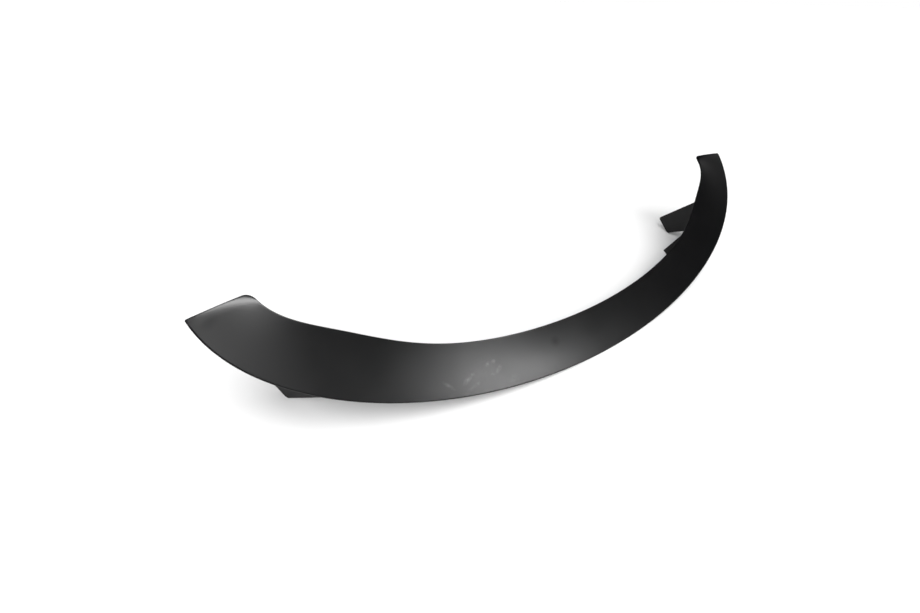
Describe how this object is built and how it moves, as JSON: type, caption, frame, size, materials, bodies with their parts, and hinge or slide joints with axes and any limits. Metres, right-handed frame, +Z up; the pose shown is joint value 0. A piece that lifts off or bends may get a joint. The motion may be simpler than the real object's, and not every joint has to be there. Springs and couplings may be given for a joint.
{
  "type": "front bumper lip",
  "caption": "Crescent-shaped moulded lip that trims the lower edge of a car's front bumper, with a raked cambered skin, rear mounting tabs and locating lugs.",
  "frame": {"origin": "on the floor, under the middle of the lip's overall length and depth, as it rests", "axes": "+X across the car along the lip's length, +Y rearwards away from the visible face, +Z up"},
  "size_m": [1.64, 0.3496, 0.264],
  "materials": {
    "moulded_abs": "satin moulded black"
  },
  "bodies": {
    "root": {"front_lip": "moulded_abs"}
  },
  "joints": []
}
